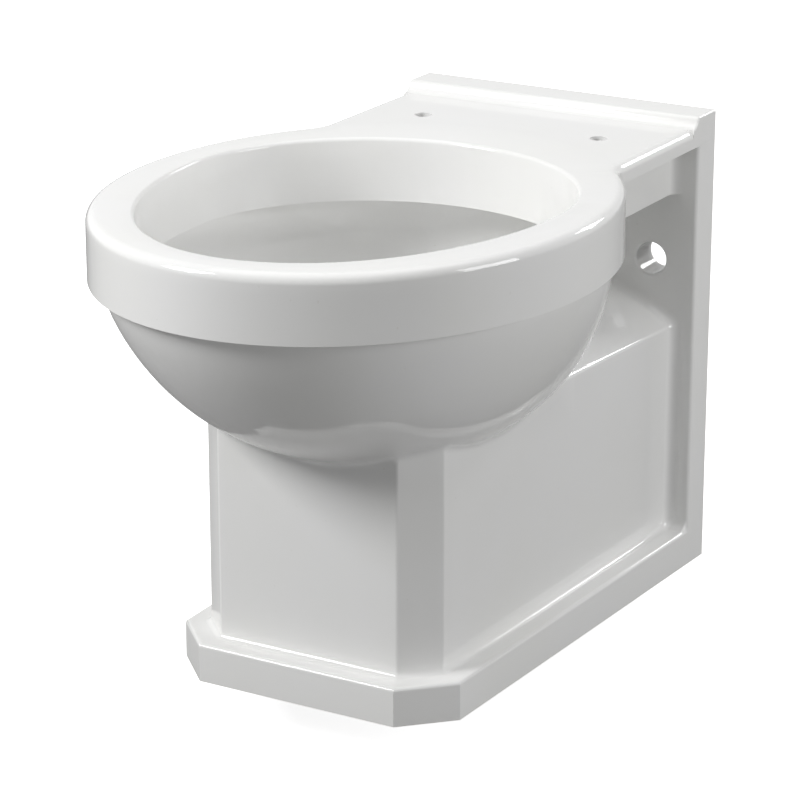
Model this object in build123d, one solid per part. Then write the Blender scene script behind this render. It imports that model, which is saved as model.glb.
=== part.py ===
from build123d import *
import os
from math import cos, pi, sin

# Wall hung toilet pan, classic style: a round box rim on a bowl, a stepped
# pedestal with chamfered front corners, and a full height plate on the wall.
# Millimetres, +Z up, the wall is the plane y = 0 and the pan comes out of it
# along -Y. While it is built, z = 0 is the underside of the plinth. The pieces
# are then dropped so that the origin lies on the wall, midway between the two
# fixing holes.

# Overall sizes
pan_width = 370.0
pan_depth = 550.0
deck_height = 366.0
ceramic_wall = 10.0
seam_margin = 1.0

# Rim: an elliptical band round an egg shaped opening
rim_from_wall = 109.0
rim_height = 50.0
top_edge_radius = 8.0
rim_front_land = 28.5
rim_side_land = 33.5
rim_back_land = 57.5
opening_back_share = 0.41
opening_edge_radius = 3.0
rim_outer_wall = 14.0
rim_inner_wall = 7.0
rim_roof = 12.0
ledge_thickness = 6.0
rinse_hole_diameter = 5.0
rinse_hole_count = 36
rinse_hole_land = 1.0

# Bowl under the rim
band_overhang_side = 9.0
band_overhang_front = 8.0
band_overhang_back = 5.0
bowl_depth = 146.0
bowl_profile_power = 1.56
bowl_profile_root = 2.77
bowl_rearward_lean = 0.23
bowl_floor_margin = 8.0
bowl_wall = 9.0
bowl_parting_skin = 1.0
collar_below_floor = 13.0
bowl_blend_radius = 10.0

# Deck behind the rim, its seat holes and the upstand at the wall
deck_half_width = 130.0
deck_thickness = 15.0
neck_radius = 40.0
seat_hole_spacing = 155.0
seat_hole_diameter = 14.0
seat_hole_from_wall = 100.0
upstand_rise = 8.5
upstand_depth = 32.0
upstand_top_radius = 4.0
upstand_foot_radius = 8.0

# Plate against the wall
plate_thickness = 28.0
plate_edge_radius = 3.0
fixing_spacing = 180.0
fixing_hole_diameter = 26.0
fixing_hole_edge = 2.0
fixing_below_deck = 112.0
inlet_above_fixing = 35.0
outlet_below_fixing = 100.0

# Pedestal and the plinth that it stands on
plinth_height = 30.0
plinth_setback = 125.0
plinth_half_front = 119.0
plinth_chamfer = 35.5
plinth_edge_radius = 3.0
pedestal_inset = 18.5
pedestal_edge_radius = 4.0
foot_blend_radius = 5.0
plate_blend_radius = 9.0
roof_below_deck = 128.0
roof_rise = 37.0
roof_edge_radius = 4.0
roof_reach = 190.0

# Flush water: duct under the deck, elbow and rubber seal at the wall
duct_half_width = 108.0
duct_depth = 41.0
duct_wall = 9.0
duct_mouth_half_width = 60.0
duct_mouth_reach = 31.0
seat_boss_radius = 14.0
inlet_bore = 55.0
elbow_half_width = 38.0
elbow_reach = 100.0
elbow_depth = 60.0
elbow_edge_radius = 8.0
rise_from_wall = 45.0
divider_half_width = 22.0
divider_length = 20.0
divider_root = 6.0
flush_pipe_bore = 45.2
seal_length = 26.0
seal_clearance = 0.3
seal_flange = 3.0
seal_flange_radius = 32.0

# Waste: sump, trap and the spigot that takes the drain connector
sump_half_width = 54.0
sump_front_gap = 38.5
sump_back_from_wall = 226.0
sump_narrowing = 0.72
sump_depth = 60.0
trap_start_from_wall = 258.0
trap_outer_radius = 35.0
trap_wall = 7.0
trap_dip_drop = 58.0
trap_dip_run = 72.0
trap_rise_run = 46.0
trap_crest_rise = 32.0
trap_exit_from_wall = 88.0
trap_bend_radius = 40.0
trap_exit_radius = 36.5
spigot_outer_radius = 51.0
spigot_wall = 8.0
spigot_setback = 6.0
spigot_cone_start = 76.0
spigot_cone_end = 60.0
window_half_width = 85.0
window_above_plinth = 15.0
window_above_spigot = 10.0
window_corner_radius = 40.0

# Derived levels, from the deck down
rim_bottom = deck_height - rim_height
ledge_top = rim_bottom + ledge_thickness
channel_top = deck_height - rim_roof
deck_bottom = deck_height - deck_thickness
upstand_top = deck_height + upstand_rise
fixing_height = deck_height - fixing_below_deck
inlet_height = fixing_height + inlet_above_fixing
outlet_height = fixing_height - outlet_below_fixing
bowl_cut_height = rim_bottom - bowl_depth + bowl_floor_margin
collar_height = bowl_cut_height - collar_below_floor
roof_crown_height = deck_height - roof_below_deck
roof_edge_height = roof_crown_height - roof_rise
roof_foot = roof_edge_height - roof_edge_radius
duct_bottom = deck_bottom - duct_depth
sump_end_height = bowl_cut_height - sump_depth
trap_dip_height = sump_end_height - trap_dip_drop
trap_crest_height = outlet_height + trap_crest_rise
window_bottom = plinth_height + window_above_plinth
window_top = outlet_height + spigot_outer_radius + window_above_spigot
plinth_seam = plinth_height + foot_blend_radius + seam_margin

# Derived places, from the front and from the wall
rim_length = pan_depth - rim_from_wall
rim_centre = -(pan_depth - rim_length / 2)
opening_length = rim_length - rim_front_land - rim_back_land
opening_front = -(pan_depth - rim_front_land)
opening_back_half = opening_back_share * opening_length
opening_front_half = opening_length - opening_back_half
opening_centre = opening_front + opening_front_half
opening_half_width = pan_width / 2 - rim_side_land
bowl_half_width = pan_width / 2 - band_overhang_side
bowl_half_length = (rim_length - band_overhang_front - band_overhang_back) / 2
bowl_centre = -(pan_depth - band_overhang_front - bowl_half_length)
plinth_front = pan_depth - plinth_setback
plate_seam = -(plate_thickness + plate_blend_radius + seam_margin)
sump_front = -(plinth_front - pedestal_inset - ceramic_wall - sump_front_gap)
sump_half_length = (-sump_back_from_wall - sump_front) / 2
sump_centre = sump_front + sump_half_length


def block(x0, x1, y0, y1, z0, z1):
    """Solid box between two corners."""
    return Pos(x0, y0, z0) * Box(x1 - x0, y1 - y0, z1 - z0, align=Align.MIN)


def tube_to_wall(radius, y0, y1, z):
    """Solid round bar square to the wall."""
    bar = Cylinder(radius, y1 - y0, align=(Align.CENTER, Align.CENTER, Align.MIN))
    return Pos(0, y1, z) * Rot(90, 0, 0) * bar


def rim_oval(inward, z0, z1):
    """Elliptical prism of the rim's outside, drawn in by a wall."""
    face = Ellipse(pan_width / 2 - inward, rim_length / 2 - inward)
    return extrude(Pos(0, rim_centre, z0) * face, z1 - z0)


def egg_point(outward, angle):
    """Point on the egg shaped outline of the opening, or outside it."""
    reach = opening_back_half if sin(angle) > 0 else opening_front_half
    return (opening_half_width + outward) * cos(angle), opening_centre + (reach + outward) * sin(angle)


def egg_prism(outward, z0, z1):
    """Prism on the egg shaped outline: two half ellipses on one centre line."""
    half_width = opening_half_width + outward
    front = Ellipse(half_width, opening_front_half + outward) & Pos(0, -pan_depth / 2) * Rectangle(pan_depth, pan_depth)
    back = Ellipse(half_width, opening_back_half + outward) & Pos(0, pan_depth / 2) * Rectangle(pan_depth, pan_depth)
    return extrude(Pos(0, opening_centre, z0) * (front + back), z1 - z0)


def bowl_section(height, inward=0.0, depth=bowl_depth):
    """Half width, half length and centre of the bowl at a height."""
    share = (rim_bottom - height) / depth
    swell = (1 - share ** bowl_profile_power) ** (1 / bowl_profile_root)
    centre = bowl_centre + bowl_rearward_lean * share * bowl_depth
    return (bowl_half_width - inward) * swell, (bowl_half_length - inward) * swell, centre


def bowl_stack(shares, inward=0.0):
    """Level sections of the bowl, from the rim down."""
    depth = bowl_depth - inward
    faces = []
    for share in shares:
        height = rim_bottom - depth * share
        half_width, half_length, centre = bowl_section(height, inward, depth)
        faces.append(Pos(0, centre, height) * Ellipse(half_width, half_length))
    return faces


def bowl_form(skin=0.0):
    """Outside shape of the bowl from the rim down to its closed underside."""
    return loft(bowl_stack((0.0, 0.12, 0.25, 0.4, 0.55, 0.7, 0.82, 0.92, 0.97), -skin))


def sump_stack(outward):
    """Sections of the sump, from the floor of the bowl to the mouth of the trap."""
    lower_centre = (sump_centre - trap_start_from_wall) / 2
    lower_height = (bowl_cut_height + sump_end_height) / 2
    upper = Ellipse(sump_half_width + outward, sump_half_length + outward)
    lower = Ellipse(sump_half_width * sump_narrowing + outward, sump_half_length * sump_narrowing + outward)
    mouth = Circle(trap_outer_radius - ceramic_wall + outward) if outward else Circle(trap_outer_radius - trap_wall)
    return [
        Pos(0, sump_centre, bowl_cut_height) * upper,
        Pos(0, lower_centre, lower_height) * lower,
        Pos(0, -trap_start_from_wall, sump_end_height) * mouth,
    ]


def bowl_hollows():
    """Space inside the bowl, and the space below it down to the mouth of the trap."""
    upper = bowl_stack((0.0, 0.12, 0.25, 0.4, 0.55, 0.7, 0.82, 0.9), bowl_wall)
    return loft(upper), loft([upper[-1]] + sump_stack(0))


def trap_bar(radius):
    """Solid round bar along the centre line of the trap."""
    foot = -trap_start_from_wall + trap_dip_run
    points = [
        (-trap_start_from_wall, sump_end_height),
        (-trap_start_from_wall, trap_dip_height),
        (foot, trap_dip_height),
        (foot + trap_rise_run, trap_crest_height),
        (-trap_exit_from_wall, outlet_height),
        (-spigot_cone_start, outlet_height),
    ]
    line = Wire(Polyline(*points).edges())
    for point, bend in zip(points[1:5], [trap_bend_radius] * 3 + [trap_exit_radius]):
        corner = [v for v in line.vertices() if abs(v.X - point[0]) + abs(v.Y - point[1]) < 0.001]
        line = line.fillet_2d(bend, corner)
    path = Plane.YZ * line
    return sweep(Plane(origin=path @ 0, z_dir=path % 0) * Circle(radius), path=path)


def plan_prism(inset, z0, z1):
    """Prism on the plan of plinth and plate, drawn in all round but at the wall."""
    side_end = plinth_front - plinth_chamfer
    front_end = plinth_half_front - plinth_chamfer
    wall_half = deck_half_width + (deck_half_width - plinth_half_front) / side_end * inset
    corners = [
        (wall_half, inset),
        (plinth_half_front, -side_end),
        (front_end, -plinth_front),
        (-front_end, -plinth_front),
        (-plinth_half_front, -side_end),
        (-wall_half, inset),
    ]
    face = make_face(Polyline(*corners, close=True))
    if inset:
        face = offset(face, -inset, kind=Kind.INTERSECTION)
    return extrude(Pos(0, 0, z0) * face, z1 - z0)


def roof_barrel(drop=0.0):
    """Long barrel whose top is the arched roof behind the bowl."""
    half_span = deck_half_width - pedestal_inset
    radius = (half_span ** 2 + roof_rise ** 2) / (2 * roof_rise)
    return tube_to_wall(radius - drop, -pan_depth, 0, roof_crown_height - radius)


def edges_where(shape, test):
    """Edges whose middle passes a test."""
    return [edge for edge in shape.edges() if test(edge @ 0.5)]


def on_bowl(point):
    """True where a point lies on the outside of the bowl."""
    half_width, half_length, centre = bowl_section(point.Z)
    reach = (point.X / half_width) ** 2 + ((point.Y - centre) / half_length) ** 2
    return abs(reach - 1) < 0.03


def outside_form():
    """Pedestal, plinth, plate and bowl as one outside shape with its blends."""
    stem_half = deck_half_width - pedestal_inset
    stem = plan_prism(pedestal_inset, plinth_height, roof_crown_height + 1)
    corners = [e for e in stem.edges().filter_by(Axis.Z) if e.center().Y < -plinth_front / 2]
    stem = fillet(corners, pedestal_edge_radius) & roof_barrel()
    shoulders = edges_where(
        stem, lambda p: p.Z > roof_foot and abs(p.X) > plinth_half_front - pedestal_inset and p.Y < -plate_thickness
    )
    stem = fillet([e for e in shoulders if e.length > plinth_front / 2], roof_edge_radius)
    base = plan_prism(0, 0, plinth_height)
    base = fillet(edges_where(base, lambda p: p.Z > plinth_height - 1 and p.Y < -1), plinth_edge_radius)
    plate = plan_prism(0, 0, deck_bottom) & block(-pan_width, pan_width, -plate_thickness, 0, 0, deck_bottom)
    plate = fillet([e for e in plate.edges().filter_by(Axis.Z) if e.center().Y < -1], plate_edge_radius)
    body = stem + base
    foot = edges_where(
        body,
        lambda p: abs(p.Z - plinth_height) < 0.5
        and abs(p.X) < stem_half + 0.5
        and pedestal_inset - plinth_front - 0.5 < p.Y < -1,
    )
    body = fillet(foot, foot_blend_radius) + plate
    on_plate = edges_where(
        body,
        lambda p: abs(p.Y + plate_thickness) < 0.1
        and plinth_height + foot_blend_radius < p.Z <= roof_crown_height
        and abs(p.X) < stem_half,
    )
    body = fillet(on_plate, plate_blend_radius) + bowl_form()
    meeting = edges_where(
        body,
        lambda p: bowl_cut_height < p.Z < roof_crown_height + 1 and on_bowl(p),
    )
    meeting = [e for e in meeting if e.geom_type not in (GeomType.LINE, GeomType.CIRCLE)]
    return fillet(meeting, bowl_blend_radius)


def top_slab():
    """Rim and deck as one block with the neck between them and a rounded edge."""
    rim = rim_oval(0, rim_bottom, deck_height)
    neck_start = rim_centre
    deck = block(-deck_half_width, deck_half_width, neck_start, 0, deck_bottom, deck_height)
    slab = rim_oval(0, deck_bottom, deck_height) + deck
    necks = edges_where(
        slab,
        lambda p: abs(abs(p.X) - deck_half_width) < 0.1
        and neck_start + 1 < p.Y < -1
        and deck_bottom + 1 < p.Z < deck_height - 1,
    )
    slab = fillet(necks, neck_radius)
    whole = slab + rim
    edge = edges_where(whole, lambda p: p.Z > deck_height - 0.1 and p.Y < -1)
    return fillet(edge, top_edge_radius)


def fixing_points():
    """The two fixing holes on the wall."""
    return [(side * fixing_spacing / 2, fixing_height) for side in (-1, 1)]


def seat_points():
    """The two seat holes through the deck."""
    return [(side * seat_hole_spacing / 2, -seat_hole_from_wall) for side in (-1, 1)]


def upright_bar(point, radius, z0, z1):
    """Solid upright round bar."""
    return Pos(point[0], point[1], z0) * Cylinder(radius, z1 - z0, align=(Align.CENTER, Align.CENTER, Align.MIN))


def build_plinth(outside, stem_core):
    """Stepped foot ring with the cove at the foot of the pedestal."""
    room = block(-pan_width, pan_width, -pan_depth, plate_seam, 0, plinth_seam)
    return (outside & room) - stem_core


def roof_zone():
    """Room taken by the arched roof between bowl and plate."""
    return block(-pan_width, pan_width, -roof_reach, plate_seam, roof_foot, rim_bottom)


def build_pedestal(outside, stem_core):
    """Walls of the pedestal up to the bowl's collar and the roof."""
    walls = block(-pan_width, pan_width, -pan_depth, plate_seam, plinth_seam, collar_height)
    shoulders = block(-pan_width, pan_width, -roof_reach, plate_seam, collar_height, roof_foot)
    return (outside & (walls + shoulders)) - stem_core


def build_roof(outside, stem_core, bowl):
    """Arched roof over the trap, behind the bowl."""
    roof = (outside & roof_zone()) - stem_core
    return roof - bowl


def build_bowl(outside, stem_core, bowl, hollow, sump_hollow):
    """Bowl below the rim with the collar that stands on the pedestal."""
    front = outside & block(-pan_width, pan_width, -pan_depth, -roof_reach, collar_height, rim_bottom)
    back = outside & block(-pan_width, pan_width, -roof_reach, plate_seam, bowl_cut_height, rim_bottom)
    core = stem_core & block(-pan_width, pan_width, -pan_depth, -roof_reach, 0, rim_bottom)
    below_floor = core & block(-pan_width, pan_width, -pan_depth, -roof_reach, 0, bowl_cut_height)
    front = front - (core - bowl) - below_floor
    return front + (back & bowl) - hollow - sump_hollow


def build_trap():
    """Trap that holds the water seal."""
    return trap_bar(trap_outer_radius) - trap_bar(trap_outer_radius - trap_wall)


def build_spigot():
    """Waste outlet with its cone."""
    bore = trap_outer_radius - trap_wall
    inner = spigot_outer_radius - spigot_wall
    cone_length = spigot_cone_start - spigot_cone_end
    cone = Pos(0, -spigot_cone_end, outlet_height) * Rot(90, 0, 0) * Cone(
        spigot_outer_radius, trap_outer_radius, cone_length, align=(Align.CENTER, Align.CENTER, Align.MIN)
    )
    cone_bore = Pos(0, -spigot_cone_end, outlet_height) * Rot(90, 0, 0) * Cone(
        inner, bore, cone_length, align=(Align.CENTER, Align.CENTER, Align.MIN)
    )
    barrel = tube_to_wall(spigot_outer_radius, -spigot_cone_end, -spigot_setback, outlet_height)
    barrel_bore = tube_to_wall(inner, -spigot_cone_end, -spigot_setback, outlet_height)
    return cone + barrel - (cone_bore + barrel_bore)


def build_rim(slab):
    """Box rim: band, roof and inner wall round a flush channel."""
    ring = slab & rim_oval(0, rim_bottom, deck_height)
    room = rim_oval(rim_outer_wall, rim_bottom, channel_top) - egg_prism(rim_inner_wall, ledge_top, channel_top)
    mouth = block(
        -duct_mouth_half_width,
        duct_mouth_half_width,
        -rim_from_wall - duct_mouth_reach,
        -rim_from_wall + rim_outer_wall,
        duct_bottom + duct_wall,
        channel_top - duct_wall,
    )
    ring = ring - room - mouth - egg_prism(0, ledge_top, deck_height)
    lip = edges_where(ring, lambda p: p.Z > deck_height - 0.1 and in_opening(p))
    return fillet(lip, opening_edge_radius)


def in_opening(point):
    """True on the edge of the opening."""
    reach = opening_back_half if point.Y > opening_centre else opening_front_half
    return (point.X / opening_half_width) ** 2 + ((point.Y - opening_centre) / reach) ** 2 < 1.05


def build_ledge():
    """Floor of the flush channel with its rinse holes."""
    ledge = rim_oval(rim_outer_wall, rim_bottom, ledge_top) - egg_prism(0, rim_bottom, ledge_top)
    out = rim_inner_wall + rinse_hole_land + rinse_hole_diameter / 2
    half_width, half_length, centre = bowl_section(rim_bottom, bowl_wall)
    clear = rinse_hole_diameter / 2 + rinse_hole_land
    for number in range(rinse_hole_count):
        x, y = egg_point(out, 2 * pi * (number + 0.5) / rinse_hole_count)
        if (x / (half_width - clear)) ** 2 + ((y - centre) / (half_length - clear)) ** 2 < 1:
            ledge = ledge - upright_bar((x, y), rinse_hole_diameter / 2, rim_bottom, ledge_top)
    return ledge


def build_deck(slab):
    """Flat deck behind the rim, with the seat holes."""
    deck = slab - rim_oval(0, rim_bottom, deck_height)
    for point in seat_points():
        deck = deck - upright_bar(point, seat_hole_diameter / 2, deck_bottom, deck_height)
    return deck


def build_upstand(slab):
    """Low upstand along the wall, swept up from the deck in a cove."""
    turn = 1 - upstand_rise / (upstand_top_radius + upstand_foot_radius)
    slope = (1 - turn ** 2) ** 0.5
    head = (upstand_top_radius - upstand_depth, upstand_top)
    join = (head[0] - upstand_top_radius * slope, upstand_top - upstand_top_radius * (1 - turn))
    foot = (join[0] - upstand_foot_radius * slope, deck_height)
    crown = RadiusArc(head, join, -upstand_top_radius)
    cove = RadiusArc(join, foot, upstand_foot_radius)
    skirt = deck_height - top_edge_radius
    outline = [
        crown,
        cove,
        Polyline(foot, (foot[0], skirt), (0, skirt), (0, upstand_top), head),
    ]
    profile = Plane.YZ * make_face(outline)
    bar = extrude(Pos(-deck_half_width, 0, 0) * profile, 2 * deck_half_width, dir=(1, 0, 0))
    ends = edges_where(bar, lambda p: abs(abs(p.X) - deck_half_width) < 0.1 and p.Z > upstand_top - 0.1)
    return fillet(ends, upstand_top_radius / 2) - slab


def build_plate(outside, stem_core):
    """Plate against the wall with its holes, the window for the waste and the roots of the walls."""
    plate = outside & block(-pan_width, pan_width, plate_seam, 0, 0, deck_bottom)
    plate = plate - (stem_core & block(-pan_width, pan_width, plate_seam, -plate_thickness, 0, deck_bottom))
    window_size = window_top - window_bottom
    window = Box(2 * window_half_width, 4 * plate_thickness, window_size)
    window = fillet(window.edges().filter_by(Axis.Y), window_corner_radius)
    plate = plate - Pos(0, 0, window_bottom + window_size / 2) * window
    for x, z in fixing_points():
        plate = plate - Pos(x, 0, 0) * tube_to_wall(fixing_hole_diameter / 2, -plate_thickness, 0, z)
    mouths = edges_where(
        plate,
        lambda p: abs(p.Y + plate_thickness) < 0.01
        and abs(p.Z - fixing_height) < fixing_hole_diameter
        and abs(abs(p.X) - fixing_spacing / 2) < fixing_hole_diameter,
    )
    plate = fillet(mouths, fixing_hole_edge)
    plate = plate - tube_to_wall(inlet_bore / 2, -plate_thickness, 0, inlet_height)
    return plate - tube_to_wall(seal_flange_radius + seal_clearance, -seal_flange, 0, inlet_height)


def build_duct():
    """Flush duct under the deck, from the wall plate to the rim."""
    front = rim_centre
    plan = Pos(0, front / 2) * Rectangle(2 * duct_half_width, -front)
    strip = Pos(0, -plate_thickness / 2) * Rectangle(2 * deck_half_width, plate_thickness)
    plan = plan + strip
    inside = [v for v in plan.vertices() if abs(v.Y + plate_thickness) < 0.1 and abs(v.X) < deck_half_width - 1]
    plan = fillet(inside, plate_blend_radius)
    outer = extrude(Pos(0, 0, duct_bottom) * plan, deck_bottom - duct_bottom)
    outer = outer - block(-pan_width, pan_width, -plate_thickness, 1, duct_bottom, deck_bottom)
    outer = outer - rim_oval(0, rim_bottom, deck_bottom) - bowl_form()
    half = duct_half_width - duct_wall
    room = block(-half, half, front, -plate_thickness, duct_bottom + duct_wall, deck_bottom)
    duct = outer - room
    rise = elbow_half_width - duct_wall
    duct = duct - block(-rise, rise, duct_wall - elbow_reach, -rise_from_wall, duct_bottom, deck_bottom)
    for point in seat_points():
        duct = duct - upright_bar(point, seat_hole_diameter / 2, duct_bottom, deck_bottom)
    return duct


def build_elbow():
    """Elbow that lifts the flush water from the wall into the duct."""
    half = elbow_half_width
    bottom = duct_bottom - elbow_depth
    outer = block(-half, half, -elbow_reach, -plate_thickness, bottom, duct_bottom)
    under = edges_where(outer, lambda p: p.Z < bottom + 1 and p.Y < -plate_thickness - 1)
    outer = fillet(under, elbow_edge_radius)
    inner = half - duct_wall
    room = block(-inner, inner, duct_wall - elbow_reach, -plate_thickness, bottom + duct_wall, duct_bottom)
    return outer - room


def build_divider():
    """Wedge on the duct floor that parts the flush to both sides of the rim."""
    root = -rim_from_wall - divider_root
    corners = [(-divider_half_width, root), (0, divider_length - rim_from_wall), (divider_half_width, root)]
    wedge = make_face(Polyline(*corners, close=True))
    top = channel_top - duct_wall
    bottom = duct_bottom + duct_wall
    return extrude(Pos(0, 0, bottom) * wedge, top - bottom) - rim_oval(0, bottom, top)


def build_seat_boss(point):
    """Sleeve round a seat hole, through the flush duct."""
    bottom = duct_bottom + duct_wall
    boss = upright_bar(point, seat_boss_radius, bottom, deck_bottom)
    return boss - upright_bar(point, seat_hole_diameter / 2, bottom, deck_bottom)


def build_seal():
    """Rubber seal that takes the flush pipe."""
    sleeve = tube_to_wall(inlet_bore / 2 - seal_clearance, -seal_length, 0, inlet_height)
    flange = tube_to_wall(seal_flange_radius, -seal_flange, 0, inlet_height)
    return sleeve + flange - tube_to_wall(flush_pipe_bore / 2, -seal_length, 0, inlet_height)


outside = outside_form()
bowl = bowl_form(bowl_parting_skin)
hollow, sump_hollow = bowl_hollows()
slab = top_slab()
stem_core = plan_prism(pedestal_inset + ceramic_wall, 0, roof_crown_height) & roof_barrel(ceramic_wall)
left_hole, right_hole = seat_points()

pieces = {
    "plinth": build_plinth(outside, stem_core),
    "pedestal_shell": build_pedestal(outside, stem_core),
    "trap_roof": build_roof(outside, stem_core, bowl),
    "bowl": build_bowl(outside, stem_core, bowl, hollow, sump_hollow),
    "bowl_sump": loft(sump_stack(ceramic_wall)) - sump_hollow,
    "trapway": build_trap(),
    "outlet_spigot": build_spigot(),
    "rim_ring": build_rim(slab),
    "rinse_ledge": build_ledge(),
    "seat_deck": build_deck(slab),
    "rear_upstand": build_upstand(slab),
    "back_plate": build_plate(outside, stem_core),
    "flush_duct": build_duct(),
    "flush_elbow": build_elbow(),
    "flush_divider": build_divider(),
    "seat_boss_left": build_seat_boss(left_hole),
    "seat_boss_right": build_seat_boss(right_hole),
    "inlet_seal": build_seal(),
}

os.makedirs("parts", exist_ok=True)
for name, piece in pieces.items():
    export_step(Pos(0, 0, -fixing_height) * piece, f"parts/{name}.step")
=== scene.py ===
from math import radians, tau

import bmesh
import bpy
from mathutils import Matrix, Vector


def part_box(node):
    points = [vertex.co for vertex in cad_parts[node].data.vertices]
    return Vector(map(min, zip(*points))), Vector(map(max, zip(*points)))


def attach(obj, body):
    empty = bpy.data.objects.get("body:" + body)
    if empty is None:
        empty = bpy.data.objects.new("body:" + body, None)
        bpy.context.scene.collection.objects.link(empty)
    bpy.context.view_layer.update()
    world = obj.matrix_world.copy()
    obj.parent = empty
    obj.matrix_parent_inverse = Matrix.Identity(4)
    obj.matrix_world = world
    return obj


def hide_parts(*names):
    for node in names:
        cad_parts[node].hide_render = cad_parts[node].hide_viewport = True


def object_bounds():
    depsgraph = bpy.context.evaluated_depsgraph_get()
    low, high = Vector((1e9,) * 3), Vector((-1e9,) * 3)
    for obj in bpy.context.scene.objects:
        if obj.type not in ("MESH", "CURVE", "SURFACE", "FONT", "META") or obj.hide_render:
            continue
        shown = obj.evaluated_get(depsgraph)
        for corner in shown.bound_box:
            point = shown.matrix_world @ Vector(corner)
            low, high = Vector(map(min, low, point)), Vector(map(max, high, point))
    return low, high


bl_info = {
    "name": "Wall hung toilet pan",
    "version": (1, 0, 0),
    "blender": (4, 5, 0),
    "location": "View3D > Sidebar > Toilet pan",
    "description": "Dresses a wall hung toilet pan in white glaze and sets it on a pale studio stage",
    "category": "Object",
}

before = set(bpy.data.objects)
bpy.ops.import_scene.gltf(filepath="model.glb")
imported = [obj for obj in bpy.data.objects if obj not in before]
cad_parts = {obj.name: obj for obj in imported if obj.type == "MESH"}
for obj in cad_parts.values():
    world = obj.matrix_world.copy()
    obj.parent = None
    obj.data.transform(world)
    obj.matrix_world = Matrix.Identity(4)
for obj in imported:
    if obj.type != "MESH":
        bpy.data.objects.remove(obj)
corners_at_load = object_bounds()

RIM_AND_DECK = ("rim_ring", "seat_deck", "rear_upstand")
BOWL = ("bowl", "bowl_sump")
PEDESTAL = ("pedestal_shell", "trap_roof", "plinth")
PLATE = ("back_plate",)
WATERWAYS = (
    "rinse_ledge",
    "flush_duct",
    "flush_elbow",
    "flush_divider",
    "seat_boss_left",
    "seat_boss_right",
    "trapway",
    "outlet_spigot",
)
SEAL = "inlet_seal"
SENSOR_WIDTH = 36.0
WELD_GAP = 0.00001

GLAZE_GRAIN_SCALE = 1400.0
GLAZE_GRAIN_SHARE = 0.012
GLAZE_WARMTH = (0.985, 0.985, 0.972)
GLAZE_CLOUD_RANGE = (0.3, 0.75)
GLAZE_CLOUD_DULLING = 0.03
GLAZE_BUMP = 0.6
GLAZE_IOR = 1.52
SPECK_SCALE = 420.0
SPECK_RANGE = (0.79, 0.82)
SPECK_SHARE = 0.25
SPECK_COLOUR = (0.62, 0.58, 0.52, 1.0)
BARE_GRAIN_COLOUR = (0.72, 0.69, 0.63, 1.0)
BARE_WAVER_SCALE = 160.0
PATCH_SHARE = 0.35

RUBBER_RIPPLE_SCALE = 90.0
RUBBER_GRAIN_SCALE = 2600.0
RUBBER_GRAIN_SHARE = 0.5
RUBBER_BLOOM_RANGE = (0.45, 0.8)
RUBBER_BLOOM_SHARE = 0.35
RUBBER_BLOOM_COLOUR = (0.11, 0.11, 0.105, 1.0)
RUBBER_ROUGHNESS = 0.5
RUBBER_GRAIN_ROUGHNESS = 0.2
RUBBER_BUMP = 0.4
RUBBER_BUMP_DEPTH = 0.0002

LIP_TOP_SHARE = 0.35
LIP_END_SHARE = 0.6

FLOOR_COLOUR = (0.85, 0.85, 0.85)
FLOOR_ROUGHNESS = 0.9


class GlazeSettings(bpy.types.PropertyGroup):
    """Sizes and colours of the glazed ceramic."""

    colour: bpy.props.FloatVectorProperty(
        name="Glaze colour",
        description="Colour of the fired white glaze",
        subtype="COLOR",
        size=3,
        min=0.0,
        max=1.0,
        default=(0.88, 0.88, 0.875),
    )
    bare_colour: bpy.props.FloatVectorProperty(
        name="Bare body colour",
        description="Colour of the unglazed body where the pan meets the wall and under the foot",
        subtype="COLOR",
        size=3,
        min=0.0,
        max=1.0,
        default=(0.80, 0.78, 0.74),
    )
    gloss_roughness: bpy.props.FloatProperty(
        name="Glaze roughness",
        description="Roughness of the glossy glaze",
        min=0.0,
        max=1.0,
        default=0.06,
    )
    bare_roughness: bpy.props.FloatProperty(
        name="Bare body roughness",
        description="Roughness of the unglazed body",
        min=0.0,
        max=1.0,
        default=0.75,
    )
    ripple_size: bpy.props.FloatProperty(
        name="Ripple size",
        description="Width of the slow waves in the glaze",
        unit="LENGTH",
        min=0.001,
        default=0.045,
    )
    ripple_depth: bpy.props.FloatProperty(
        name="Ripple depth",
        description="Depth of the slow waves in the glaze",
        unit="LENGTH",
        min=0.0,
        default=0.00012,
    )
    bare_margin: bpy.props.FloatProperty(
        name="Bare margin",
        description="How far the unglazed body reaches round from the wall face and the foot",
        unit="LENGTH",
        min=0.0,
        default=0.0006,
    )
    crease_angle: bpy.props.FloatProperty(
        name="Crease angle",
        description="Edges bent more than this stay sharp",
        subtype="ANGLE",
        min=0.0,
        max=radians(180),
        default=radians(32),
    )


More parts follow.
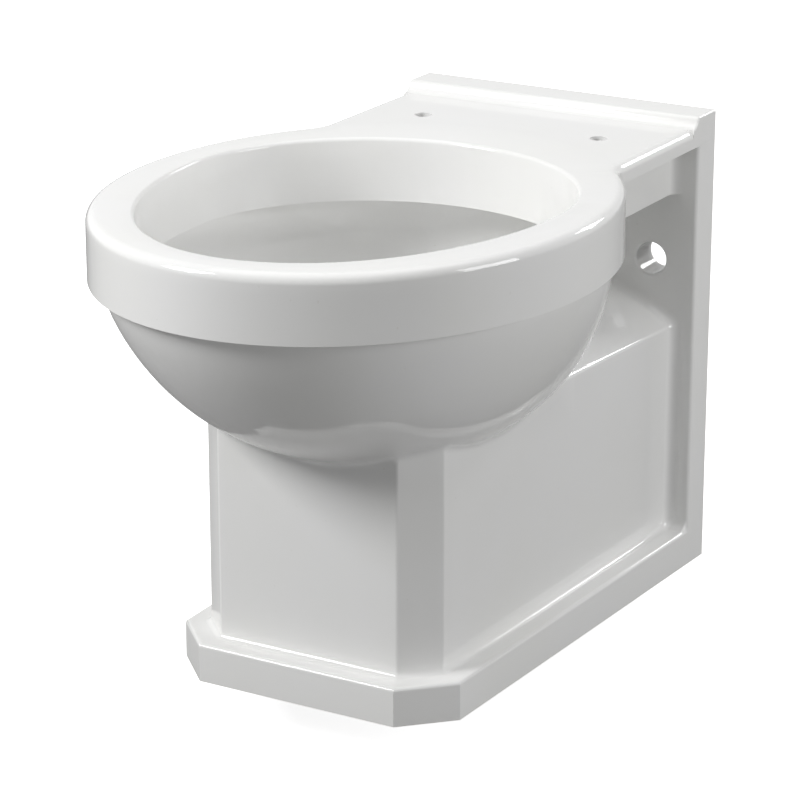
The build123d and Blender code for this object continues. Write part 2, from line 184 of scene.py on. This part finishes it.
class SealSettings(bpy.types.PropertyGroup):
    """Sizes and colour of the rubber seal in the flush inlet."""

    colour: bpy.props.FloatVectorProperty(
        name="Rubber colour",
        description="Colour of the seal",
        subtype="COLOR",
        size=3,
        min=0.0,
        max=1.0,
        default=(0.035, 0.035, 0.037),
    )
    sleeve_radius: bpy.props.FloatProperty(
        name="Sleeve radius",
        description="Outside radius of the sleeve in the wall plate",
        unit="LENGTH",
        min=0.0,
        default=0.0272,
    )
    bore_radius: bpy.props.FloatProperty(
        name="Bore radius",
        description="Radius of the bore that takes the flush pipe",
        unit="LENGTH",
        min=0.0,
        default=0.0226,
    )
    flange_depth: bpy.props.FloatProperty(
        name="Flange depth",
        description="Thickness of the flange at the wall",
        unit="LENGTH",
        min=0.0,
        default=0.003,
    )
    flange_edge: bpy.props.FloatProperty(
        name="Flange edge",
        description="Bevel on the wall side of the flange",
        unit="LENGTH",
        min=0.0,
        default=0.0008,
    )
    flange_back_edge: bpy.props.FloatProperty(
        name="Flange back edge",
        description="Bevel on the plate side of the flange",
        unit="LENGTH",
        min=0.0,
        default=0.0006,
    )
    sleeve_edge: bpy.props.FloatProperty(
        name="Sleeve edge",
        description="Bevel at the inner end of the sleeve",
        unit="LENGTH",
        min=0.0,
        default=0.0012,
    )
    crease_angle: bpy.props.FloatProperty(
        name="Crease angle",
        description="Edges bent more than this stay sharp",
        subtype="ANGLE",
        min=0.0,
        max=radians(180),
        default=radians(35),
    )
    lip_count: bpy.props.IntProperty(
        name="Lips",
        description="Sealing lips inside the sleeve",
        min=1,
        max=5,
        default=3,
    )
    lip_height: bpy.props.FloatProperty(
        name="Lip height",
        description="How far each lip stands in from the sleeve's wall",
        unit="LENGTH",
        min=0.0,
        default=0.0016,
    )
    steps: bpy.props.IntProperty(
        name="Steps round",
        description="Facets round the seal",
        min=24,
        max=256,
        default=96,
    )


class StageSettings(bpy.types.PropertyGroup):
    """Camera, lamps and floor."""

    eye: bpy.props.FloatVectorProperty(
        name="Eye",
        description="Place of the camera",
        subtype="TRANSLATION",
        unit="LENGTH",
        size=3,
        default=(1.1615, -2.2786, 0.7166),
    )
    turn: bpy.props.FloatProperty(
        name="Turn",
        description="Angle of the view round the pan, from straight on",
        subtype="ANGLE",
        default=radians(30.05),
    )
    tilt: bpy.props.FloatProperty(
        name="Tilt",
        description="Angle of the view below the horizon",
        subtype="ANGLE",
        default=radians(18.59),
    )
    lens: bpy.props.FloatProperty(
        name="Lens",
        description="Focal length of the camera in millimetres",
        min=10.0,
        default=145.98,
    )
    floor_drop: bpy.props.FloatProperty(
        name="Floor drop",
        description="Gap between the foot of the pan and the floor",
        unit="LENGTH",
        min=0.0,
        default=0.045,
    )
    floor_size: bpy.props.FloatProperty(
        name="Floor size",
        description="Width of the floor",
        unit="LENGTH",
        min=1.0,
        default=24.0,
    )
    sky_level: bpy.props.FloatProperty(
        name="Sky level",
        description="Brightness of the room that lights the pan",
        min=0.0,
        default=0.21,
    )
    overhead_rise: bpy.props.FloatProperty(
        name="Overhead lamp height",
        description="Height of the overhead lamp over the pan",
        unit="LENGTH",
        min=0.0,
        default=2.2,
    )
    overhead_size: bpy.props.FloatProperty(
        name="Overhead lamp size",
        description="Width of the overhead lamp",
        unit="LENGTH",
        min=0.01,
        default=2.4,
    )
    overhead_power: bpy.props.FloatProperty(
        name="Overhead lamp",
        description="Power of the soft lamp above the pan",
        subtype="POWER",
        min=0.0,
        default=22.0,
    )
    left_place: bpy.props.FloatVectorProperty(
        name="Left lamp place",
        description="Place of the lamp at the front left",
        subtype="TRANSLATION",
        unit="LENGTH",
        size=3,
        default=(-1.9, -2.45, 2.0),
    )
    left_power: bpy.props.FloatProperty(
        name="Left lamp",
        description="Power of the soft lamp high at the front left",
        subtype="POWER",
        min=0.0,
        default=94.0,
    )
    right_place: bpy.props.FloatVectorProperty(
        name="Right lamp place",
        description="Place of the lamp at the right",
        subtype="TRANSLATION",
        unit="LENGTH",
        size=3,
        default=(2.8, 0.2, 0.7),
    )
    right_power: bpy.props.FloatProperty(
        name="Right lamp",
        description="Power of the soft lamp at the right",
        subtype="POWER",
        min=0.0,
        default=31.0,
    )
    side_lamp_size: bpy.props.FloatProperty(
        name="Side lamp size",
        description="Width of the lamps at the left and the right",
        unit="LENGTH",
        min=0.01,
        default=1.2,
    )
    rear_place: bpy.props.FloatVectorProperty(
        name="Rear lamp place",
        description="Place of the lamp behind the wall plane",
        subtype="TRANSLATION",
        unit="LENGTH",
        size=3,
        default=(0.85, 2.2, 1.25),
    )
    rear_size: bpy.props.FloatProperty(
        name="Rear lamp size",
        description="Width of the lamp behind the wall plane",
        unit="LENGTH",
        min=0.01,
        default=0.6,
    )
    rear_power: bpy.props.FloatProperty(
        name="Rear lamp",
        description="Power of the small lamp behind the wall plane that draws the edge highlights",
        subtype="POWER",
        min=0.0,
        default=11.0,
    )
    floor_bounce: bpy.props.FloatProperty(
        name="Floor bounce",
        description="Share of the light that the floor sends back to the pan",
        min=0.0,
        max=1.0,
        default=0.25,
    )
    floor_lift: bpy.props.FloatProperty(
        name="Floor lift",
        description="Glow added to the floor where the camera sees it",
        min=0.0,
        default=0.85,
    )


def new_material(name, colour):
    """Material whose shader is already tied to its output, and that shader."""
    material = bpy.data.materials.new(name)
    material.use_nodes = True
    material.diffuse_color = (*colour, 1.0)
    nodes = material.node_tree.nodes
    nodes.clear()
    shader = nodes.new("ShaderNodeBsdfPrincipled")
    output = nodes.new("ShaderNodeOutputMaterial")
    material.node_tree.links.new(shader.outputs["BSDF"], output.inputs["Surface"])
    return material, shader


def new_group(name, inputs, outputs):
    """Shader node group with named sockets, and its two end nodes."""
    group = bpy.data.node_groups.new(name, "ShaderNodeTree")
    for label, kind, value in inputs:
        socket = group.interface.new_socket(label, in_out="INPUT", socket_type=kind)
        socket.default_value = value
    for label, kind in outputs:
        group.interface.new_socket(label, in_out="OUTPUT", socket_type=kind)
    return group, group.nodes.new("NodeGroupInput"), group.nodes.new("NodeGroupOutput")


def math_node(tree, operation, *values):
    """Math node fed by numbers or sockets; returns its output."""
    node = tree.nodes.new("ShaderNodeMath")
    node.operation = operation
    for socket, value in zip(node.inputs, values):
        if isinstance(value, bpy.types.NodeSocket):
            tree.links.new(value, socket)
        else:
            socket.default_value = value
    return node.outputs[0]


def ramp_between(tree, value, start, end):
    """Smooth step from 0 at start to 1 at end."""
    node = tree.nodes.new("ShaderNodeMapRange")
    node.interpolation_type = "SMOOTHSTEP"
    for label, item in (("Value", value), ("From Min", start), ("From Max", end)):
        if isinstance(item, bpy.types.NodeSocket):
            tree.links.new(item, node.inputs[label])
        else:
            node.inputs[label].default_value = item
    return node.outputs["Result"]


def noise_at(tree, place, scale, detail=2.0):
    """Noise over object coordinates; returns its factor."""
    node = tree.nodes.new("ShaderNodeTexNoise")
    node.inputs["Detail"].default_value = detail
    tree.links.new(place, node.inputs["Vector"])
    if isinstance(scale, bpy.types.NodeSocket):
        tree.links.new(scale, node.inputs["Scale"])
    else:
        node.inputs["Scale"].default_value = scale
    return node.outputs["Fac"]


def mix_colours(tree, factor, first, second):
    """Colour mixed between two sockets or colours."""
    node = tree.nodes.new("ShaderNodeMix")
    node.data_type = "RGBA"
    tree.links.new(factor, node.inputs["Factor"])
    for socket, colour in ((node.inputs["A"], first), (node.inputs["B"], second)):
        if isinstance(colour, bpy.types.NodeSocket):
            tree.links.new(colour, socket)
        else:
            socket.default_value = colour
    return node.outputs["Result"]


def surface_waver_group():
    """Slow ripple, fine grain and cloudy patches shared by the glaze and the rubber."""
    group, start, end = new_group(
        "Surface waver",
        [
            ("Place", "NodeSocketVector", (0.0, 0.0, 0.0)),
            ("Ripple scale", "NodeSocketFloat", 20.0),
            ("Grain scale", "NodeSocketFloat", 900.0),
            ("Grain share", "NodeSocketFloat", 0.1),
        ],
        [("Height", "NodeSocketFloat"), ("Patches", "NodeSocketFloat"), ("Grain", "NodeSocketFloat")],
    )
    place = start.outputs["Place"]
    ripple = noise_at(group, place, start.outputs["Ripple scale"], 1.0)
    patch_scale = math_node(group, "MULTIPLY", start.outputs["Ripple scale"], PATCH_SHARE)
    patches = noise_at(group, place, patch_scale, 3.0)
    grain = noise_at(group, place, start.outputs["Grain scale"])
    fine = math_node(group, "MULTIPLY", grain, start.outputs["Grain share"])
    height = math_node(group, "ADD", ripple, fine)
    group.links.new(height, end.inputs["Height"])
    group.links.new(patches, end.inputs["Patches"])
    group.links.new(grain, end.inputs["Grain"])
    return group


def unglazed_contact_group():
    """Mask of the unglazed body at the wall face and under the foot."""
    group, start, end = new_group(
        "Unglazed contact",
        [
            ("Place", "NodeSocketVector", (0.0, 0.0, 0.0)),
            ("Wall", "NodeSocketFloat", 0.0),
            ("Foot", "NodeSocketFloat", 0.0),
            ("Margin", "NodeSocketFloat", 0.001),
        ],
        [("Bare", "NodeSocketFloat")],
    )
    split = group.nodes.new("ShaderNodeSeparateXYZ")
    group.links.new(start.outputs["Place"], split.inputs["Vector"])
    waver = noise_at(group, start.outputs["Place"], BARE_WAVER_SCALE)
    reach = math_node(group, "MULTIPLY", start.outputs["Margin"], waver)
    from_wall = math_node(group, "SUBTRACT", start.outputs["Wall"], split.outputs["Y"])
    from_foot = math_node(group, "SUBTRACT", split.outputs["Z"], start.outputs["Foot"])
    nearest = math_node(group, "MINIMUM", from_wall, from_foot)
    bare = math_node(group, "LESS_THAN", nearest, reach)
    group.links.new(bare, end.inputs["Bare"])
    return group


def placed_waver(tree, waver, place, ripple_scale, grain_scale, grain_share):
    """Waver group set in a material with its own scales."""
    node = tree.nodes.new("ShaderNodeGroup")
    node.node_tree = waver
    node.inputs["Ripple scale"].default_value = ripple_scale
    node.inputs["Grain scale"].default_value = grain_scale
    node.inputs["Grain share"].default_value = grain_share
    tree.links.new(place, node.inputs["Place"])
    return node


def bump_from(tree, surface, shader, strength, depth):
    """Bump of a material, driven by its waver."""
    bump = tree.nodes.new("ShaderNodeBump")
    bump.inputs["Strength"].default_value = strength
    bump.inputs["Distance"].default_value = depth
    tree.links.new(surface.outputs["Height"], bump.inputs["Height"])
    tree.links.new(bump.outputs["Normal"], shader.inputs["Normal"])


def glaze_material(settings, waver, contact):
    """White glazed ceramic, bare where it meets the wall and under the foot."""
    material, shader = new_material("White glazed ceramic", settings.colour)
    tree = material.node_tree
    place = tree.nodes.new("ShaderNodeTexCoord").outputs["Object"]
    ripple_scale = 1.0 / settings.ripple_size
    surface = placed_waver(tree, waver, place, ripple_scale, GLAZE_GRAIN_SCALE, GLAZE_GRAIN_SHARE)
    unglazed = tree.nodes.new("ShaderNodeGroup")
    unglazed.node_tree = contact
    foot, wall = corners_at_load[0].z, corners_at_load[1].y
    unglazed.inputs["Wall"].default_value = wall
    unglazed.inputs["Foot"].default_value = foot
    unglazed.inputs["Margin"].default_value = settings.bare_margin
    tree.links.new(place, unglazed.inputs["Place"])

    warm = tuple(channel * factor for channel, factor in zip(settings.colour, GLAZE_WARMTH))
    clouds = ramp_between(tree, surface.outputs["Patches"], *GLAZE_CLOUD_RANGE)
    glaze = mix_colours(tree, clouds, (*settings.colour, 1.0), (*warm, 1.0))
    speck = ramp_between(tree, noise_at(tree, place, SPECK_SCALE, 1.0), *SPECK_RANGE)
    faint = math_node(tree, "MULTIPLY", speck, SPECK_SHARE)
    glaze = mix_colours(tree, faint, glaze, SPECK_COLOUR)
    body = mix_colours(tree, surface.outputs["Grain"], (*settings.bare_colour, 1.0), BARE_GRAIN_COLOUR)
    tree.links.new(mix_colours(tree, unglazed.outputs["Bare"], glaze, body), shader.inputs["Base Color"])

    dull = math_node(tree, "MULTIPLY", clouds, GLAZE_CLOUD_DULLING)
    sheen = math_node(tree, "ADD", dull, settings.gloss_roughness)
    rough_gain = settings.bare_roughness - settings.gloss_roughness
    extra = math_node(tree, "MULTIPLY", unglazed.outputs["Bare"], rough_gain)
    tree.links.new(math_node(tree, "ADD", sheen, extra), shader.inputs["Roughness"])
    bump_from(tree, surface, shader, GLAZE_BUMP, settings.ripple_depth)
    shader.inputs["IOR"].default_value = GLAZE_IOR
    return material


def rubber_material(settings, waver):
    """Black rubber with a fine moulded grain and a dusty bloom."""
    material, shader = new_material("Black seal rubber", settings.colour)
    tree = material.node_tree
    place = tree.nodes.new("ShaderNodeTexCoord").outputs["Object"]
    surface = placed_waver(tree, waver, place, RUBBER_RIPPLE_SCALE, RUBBER_GRAIN_SCALE, RUBBER_GRAIN_SHARE)
    bloom = ramp_between(tree, surface.outputs["Patches"], *RUBBER_BLOOM_RANGE)
    faint = math_node(tree, "MULTIPLY", bloom, RUBBER_BLOOM_SHARE)
    tint = mix_colours(tree, faint, (*settings.colour, 1.0), RUBBER_BLOOM_COLOUR)
    tree.links.new(tint, shader.inputs["Base Color"])
    grain = surface.outputs["Grain"]
    rough = math_node(tree, "MULTIPLY_ADD", grain, RUBBER_GRAIN_ROUGHNESS, RUBBER_ROUGHNESS)
    tree.links.new(rough, shader.inputs["Roughness"])
    bump_from(tree, surface, shader, RUBBER_BUMP, RUBBER_BUMP_DEPTH)
    return material


def glaze_nodes(names, settings):
    """Smooth copies of castings, in glaze, in place of the plain ones."""
    material = bpy.data.materials["White glazed ceramic"]
    for name in names:
        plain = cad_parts[name]
        mesh = bmesh.new()
        mesh.from_mesh(plain.data)
        bmesh.ops.remove_doubles(mesh, verts=mesh.verts, dist=WELD_GAP)
        for face in mesh.faces:
            face.smooth = True
            face.material_index = 0
        for edge in mesh.edges:
            edge.smooth = edge.is_manifold and edge.calc_face_angle(0.0) < settings.crease_angle
        data = bpy.data.meshes.new(name + "_glazed")
        mesh.to_mesh(data)
        mesh.free()
        data.materials.append(material)
        copy = bpy.data.objects.new(name + "_glazed", data)
        bpy.context.scene.collection.objects.link(copy)
        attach(copy, "root")
        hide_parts(name)


class TOILET_OT_materials(bpy.types.Operator):
    """Make the glaze and rubber materials"""

    bl_idname = "toilet.materials"
    bl_label = "Materials"

    def execute(self, context):
        waver = surface_waver_group()
        glaze_material(context.scene.toilet_glaze, waver, unglazed_contact_group())
        rubber_material(context.scene.toilet_seal, waver)
        return {"FINISHED"}


class TOILET_OT_rim_and_deck(bpy.types.Operator):
    """Glaze the rim, the deck and the upstand at the wall"""

    bl_idname = "toilet.rim_and_deck"
    bl_label = "Rim and deck"

    def execute(self, context):
        glaze_nodes(RIM_AND_DECK, context.scene.toilet_glaze)
        return {"FINISHED"}


class TOILET_OT_bowl(bpy.types.Operator):
    """Glaze the bowl and its sump"""

    bl_idname = "toilet.bowl"
    bl_label = "Bowl"

    def execute(self, context):
        glaze_nodes(BOWL, context.scene.toilet_glaze)
        return {"FINISHED"}


class TOILET_OT_pedestal(bpy.types.Operator):
    """Glaze the pedestal, its plinth and the roof behind the bowl"""

    bl_idname = "toilet.pedestal"
    bl_label = "Pedestal"

    def execute(self, context):
        glaze_nodes(PEDESTAL, context.scene.toilet_glaze)
        return {"FINISHED"}


class TOILET_OT_wall_plate(bpy.types.Operator):
    """Glaze the plate that stands against the wall"""

    bl_idname = "toilet.wall_plate"
    bl_label = "Wall plate"

    def execute(self, context):
        glaze_nodes(PLATE, context.scene.toilet_glaze)
        return {"FINISHED"}


class TOILET_OT_waterways(bpy.types.Operator):
    """Glaze the flush duct, the rinse ledge, the trap and the outlet"""

    bl_idname = "toilet.waterways"
    bl_label = "Waterways"

    def execute(self, context):
        glaze_nodes(WATERWAYS, context.scene.toilet_glaze)
        return {"FINISHED"}


class TOILET_OT_inlet_seal(bpy.types.Operator):
    """Make the rubber seal with its sealing lips"""

    bl_idname = "toilet.inlet_seal"
    bl_label = "Inlet seal"

    def execute(self, context):
        settings = context.scene.toilet_seal
        low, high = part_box(SEAL)
        flange = (high.x - low.x) / 2
        centre = (low + high) / 2
        sleeve_radius, bore_radius = settings.sleeve_radius, settings.bore_radius
        flange_depth = settings.flange_depth
        length = high.y - low.y
        front_edge, back_edge, tip = settings.flange_edge, settings.flange_back_edge, settings.sleeve_edge
        profile = [(bore_radius, 0.0), (flange - front_edge, 0.0), (flange, front_edge)]
        profile += [(flange, flange_depth - back_edge), (flange - back_edge, flange_depth)]
        profile += [(sleeve_radius, flange_depth)]
        profile += [(sleeve_radius, length - tip), (sleeve_radius - tip, length), (bore_radius, length)]
        pitch = (length - 2 * flange_depth) / settings.lip_count
        lips = []
        for number in range(settings.lip_count):
            foot = flange_depth + pitch * number
            lips += [(bore_radius, foot), (bore_radius - settings.lip_height, foot + pitch * LIP_TOP_SHARE)]
            lips += [(bore_radius, foot + pitch * LIP_END_SHARE)]
        profile += lips[::-1]
        mesh = bmesh.new()
        ring = [mesh.verts.new((radius, high.y - depth, 0.0)) for radius, depth in profile]
        edges = [mesh.edges.new((a, b)) for a, b in zip(ring, ring[1:] + ring[:1])]
        bmesh.ops.spin(
            mesh,
            geom=ring + edges,
            cent=(0, 0, 0),
            axis=(0, 1, 0),
            angle=tau,
            steps=settings.steps,
            use_merge=True,
        )
        bmesh.ops.remove_doubles(mesh, verts=mesh.verts, dist=WELD_GAP)
        bmesh.ops.translate(mesh, verts=mesh.verts, vec=(centre.x, 0.0, centre.z))
        bmesh.ops.recalc_face_normals(mesh, faces=mesh.faces)
        for face in mesh.faces:
            face.smooth = True
        for edge in mesh.edges:
            edge.smooth = edge.calc_face_angle(0.0) < settings.crease_angle
        data = bpy.data.meshes.new("inlet_seal_lipped")
        mesh.to_mesh(data)
        mesh.free()
        data.materials.append(bpy.data.materials["Black seal rubber"])
        seal = bpy.data.objects.new("inlet_seal_lipped", data)
        context.scene.collection.objects.link(seal)
        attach(seal, "root")
        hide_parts(SEAL)
        return {"FINISHED"}


def soft_lamp(name, place, aim, size, power):
    """Square area lamp at a place, aimed at a point."""
    data = bpy.data.lights.new(name, "AREA")
    data.size = size
    data.energy = power
    lamp = bpy.data.objects.new(name, data)
    lamp.location = place
    lamp.rotation_euler = (Vector(aim) - Vector(place)).to_track_quat("-Z", "Y").to_euler()
    bpy.context.scene.collection.objects.link(lamp)
    return lamp


class TOILET_OT_stage(bpy.types.Operator):
    """Set up the floor, the lamps, the room and the camera"""

    bl_idname = "toilet.stage"
    bl_label = "Stage"

    def execute(self, context):
        settings = context.scene.toilet_stage
        scene = context.scene
        scene.view_settings.view_transform = "Standard"
        low, high = corners_at_load
        middle = (low + high) / 2

        world = bpy.data.worlds.new("Pale room")
        scene.world = world
        world.use_nodes = True
        tree = world.node_tree
        tree.nodes.clear()
        output = tree.nodes.new("ShaderNodeOutputWorld")
        light = tree.nodes.new("ShaderNodeBackground")
        light.inputs["Strength"].default_value = settings.sky_level
        white = tree.nodes.new("ShaderNodeBackground")
        path = tree.nodes.new("ShaderNodeLightPath")
        seen = math_node(tree, "MAXIMUM", path.outputs["Is Camera Ray"], path.outputs["Is Transmission Ray"])
        seen = math_node(tree, "MAXIMUM", seen, path.outputs["Is Glossy Ray"])
        mix = tree.nodes.new("ShaderNodeMixShader")
        tree.links.new(seen, mix.inputs["Fac"])
        tree.links.new(light.outputs["Background"], mix.inputs[1])
        tree.links.new(white.outputs["Background"], mix.inputs[2])
        tree.links.new(mix.outputs["Shader"], output.inputs["Surface"])

        mesh = bmesh.new()
        bmesh.ops.create_grid(mesh, x_segments=1, y_segments=1, size=settings.floor_size / 2)
        bmesh.ops.translate(mesh, verts=mesh.verts, vec=(middle.x, middle.y, low.z - settings.floor_drop))
        data = bpy.data.meshes.new("studio_floor")
        mesh.to_mesh(data)
        mesh.free()
        floor = bpy.data.objects.new("studio_floor", data)
        scene.collection.objects.link(floor)
        material, shader = new_material("Pale studio floor", FLOOR_COLOUR)
        tree = material.node_tree
        seen = tree.nodes.new("ShaderNodeLightPath").outputs["Is Camera Ray"]
        dim = (settings.floor_bounce,) * 3
        shade = mix_colours(tree, seen, (*dim, 1.0), (*FLOOR_COLOUR, 1.0))
        tree.links.new(shade, shader.inputs["Base Color"])
        shader.inputs["Roughness"].default_value = FLOOR_ROUGHNESS
        shader.inputs["Emission Color"].default_value = (1.0, 1.0, 1.0, 1.0)
        glow = math_node(tree, "MULTIPLY", seen, settings.floor_lift)
        tree.links.new(glow, shader.inputs["Emission Strength"])
        data.materials.append(material)

        above = (middle.x, middle.y, high.z + settings.overhead_rise)
        over = soft_lamp("overhead_lamp", above, middle, settings.overhead_size, settings.overhead_power)
        side_size = settings.side_lamp_size
        left = soft_lamp("left_lamp", settings.left_place, middle, side_size, settings.left_power)
        right = soft_lamp("right_lamp", settings.right_place, middle, side_size, settings.right_power)
        rear = soft_lamp("rear_lamp", settings.rear_place, middle, settings.rear_size, settings.rear_power)

        data = bpy.data.cameras.new("photo_camera")
        data.sensor_width = SENSOR_WIDTH
        data.lens = settings.lens
        data.clip_end = 100.0
        camera = bpy.data.objects.new("photo_camera", data)
        camera.location = settings.eye
        camera.rotation_euler = (radians(90) - settings.tilt, 0.0, settings.turn)
        scene.collection.objects.link(camera)
        scene.camera = camera
        return {"FINISHED"}


class TOILET_PT_panel(bpy.types.Panel):
    """Panel that lists the steps"""

    bl_idname = "TOILET_PT_panel"
    bl_label = "Toilet pan"
    bl_space_type = "VIEW_3D"
    bl_region_type = "UI"
    bl_category = "Toilet pan"

    def draw(self, context):
        for step in STEPS:
            self.layout.operator(step.bl_idname)
        for group in ("toilet_glaze", "toilet_seal", "toilet_stage"):
            box = self.layout.box()
            settings = getattr(context.scene, group)
            for key in settings.__annotations__:
                box.prop(settings, key)


STEPS = (
    TOILET_OT_materials,
    TOILET_OT_rim_and_deck,
    TOILET_OT_bowl,
    TOILET_OT_pedestal,
    TOILET_OT_wall_plate,
    TOILET_OT_waterways,
    TOILET_OT_inlet_seal,
    TOILET_OT_stage,
)
CLASSES = (GlazeSettings, SealSettings, StageSettings, *STEPS, TOILET_PT_panel)


def register():
    for item in CLASSES:
        bpy.utils.register_class(item)
    bpy.types.Scene.toilet_glaze = bpy.props.PointerProperty(type=GlazeSettings)
    bpy.types.Scene.toilet_seal = bpy.props.PointerProperty(type=SealSettings)
    bpy.types.Scene.toilet_stage = bpy.props.PointerProperty(type=StageSettings)


def unregister():
    del bpy.types.Scene.toilet_stage
    del bpy.types.Scene.toilet_seal
    del bpy.types.Scene.toilet_glaze
    for item in reversed(CLASSES):
        bpy.utils.unregister_class(item)


def main():
    """Register the add-on and run its steps in order."""
    register()
    bpy.ops.toilet.materials()
    bpy.ops.toilet.rim_and_deck()
    bpy.ops.toilet.bowl()
    bpy.ops.toilet.pedestal()
    bpy.ops.toilet.wall_plate()
    bpy.ops.toilet.waterways()
    bpy.ops.toilet.inlet_seal()
    bpy.ops.toilet.stage()


if __name__ == "__main__":
    main()
